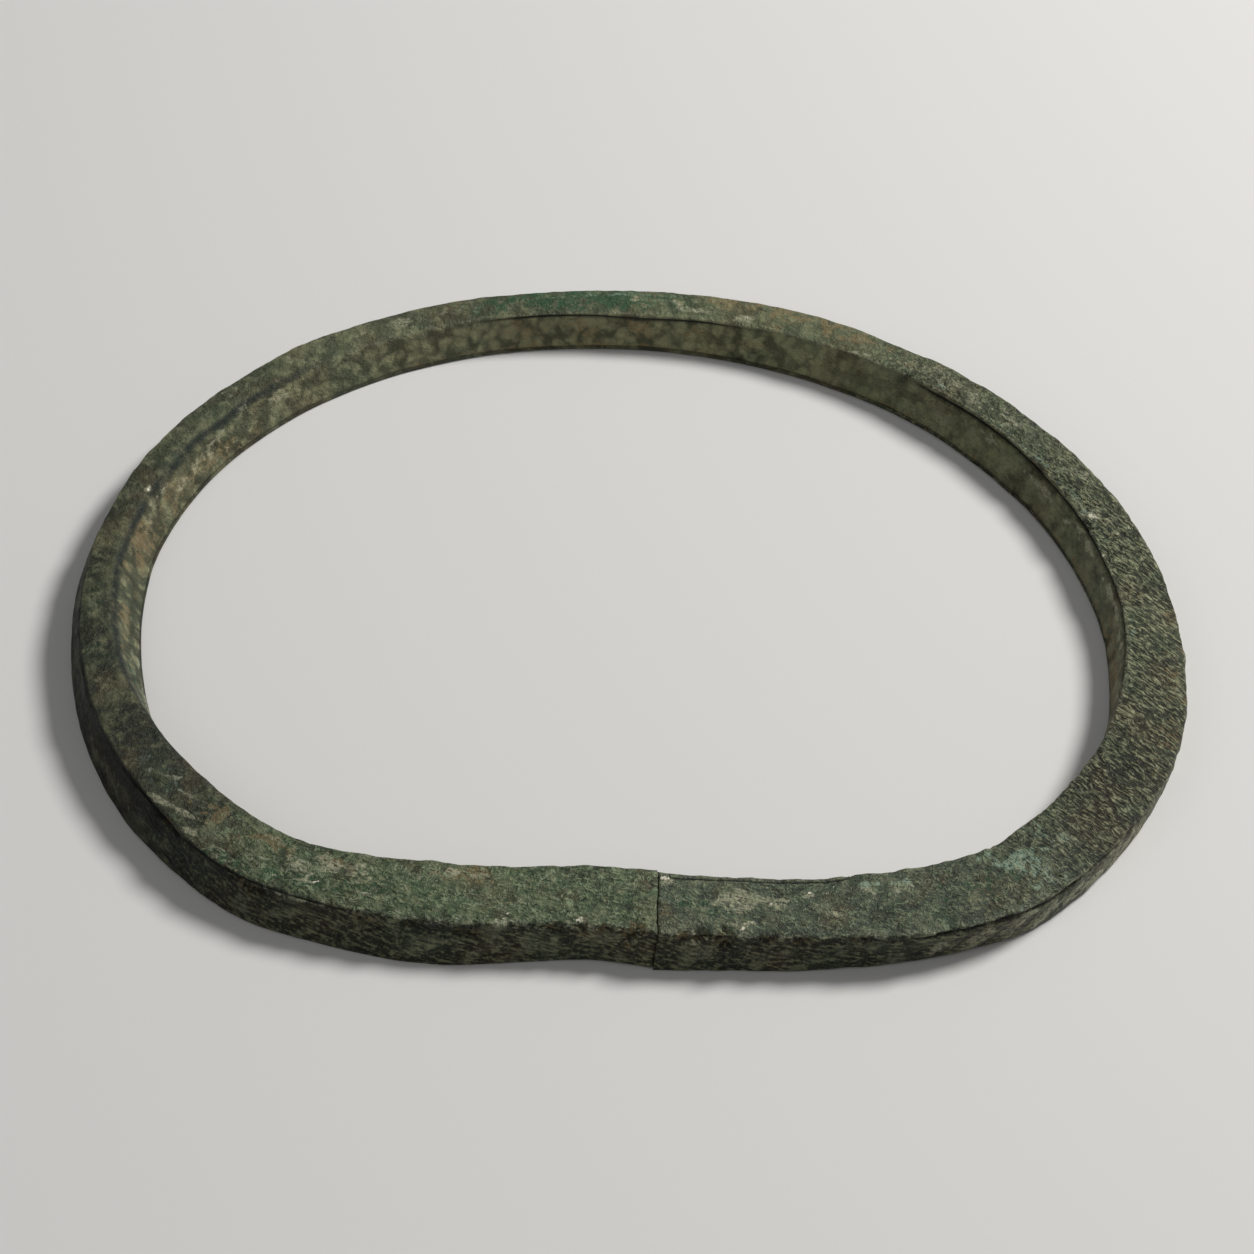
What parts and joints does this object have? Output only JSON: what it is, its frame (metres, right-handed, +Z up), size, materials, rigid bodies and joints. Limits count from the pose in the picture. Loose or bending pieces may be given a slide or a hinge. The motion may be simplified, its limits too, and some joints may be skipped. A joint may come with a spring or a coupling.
{
  "type": "bangle",
  "caption": "Ancient bronze bangle: a four-sided bar bent into a flat-fronted oval ring, its butted ends leaving a hairline seam.",
  "frame": {"origin": "middle of the hoop's outline, on the surface that the bangle lies on", "axes": "+X to the hoop's right, along its widest span; +Y to its back, away from the butted ends; +Z up, through the arm opening"},
  "size_m": [0.0756, 0.0626, 0.003],
  "materials": {
    "patinated_bronze": "bronze under a matt grey-green to olive-brown burial patina, with malachite green, pale cream and ochre crust"
  },
  "bodies": {
    "root": {"bangle": "patinated_bronze"}
  },
  "joints": []
}
